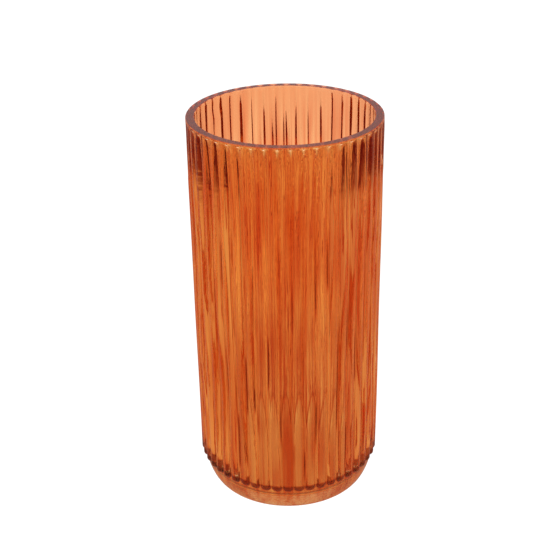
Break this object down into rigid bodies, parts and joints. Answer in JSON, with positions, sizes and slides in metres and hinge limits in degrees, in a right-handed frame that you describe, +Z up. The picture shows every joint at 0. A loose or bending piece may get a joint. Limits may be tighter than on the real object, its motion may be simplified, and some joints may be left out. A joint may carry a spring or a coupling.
{
  "type": "reeded glass vase",
  "caption": "Tall cylinder vase in clear amber-orange glass, smooth inside, with upright reeds outside, a plain ground rim and a turned-in heel on a thick foot.",
  "frame": {"origin": "centre of the foot, on the surface that the vase stands on", "axes": "+Z up along the vase's own axis, out of its mouth; -Y towards the front, where the reeds are closest together, with the crest of one reed within a degree of it"},
  "size_m": [0.12, 0.12, 0.254],
  "materials": {
    "amber_glass": "clear amber-orange glass, fire polished outside and in, with a ground and polished rim"
  },
  "bodies": {
    "root": {"foot": "amber_glass", "floor": "amber_glass", "body_wall": "amber_glass", "reeds": "amber_glass", "lip": "amber_glass"}
  },
  "joints": []
}
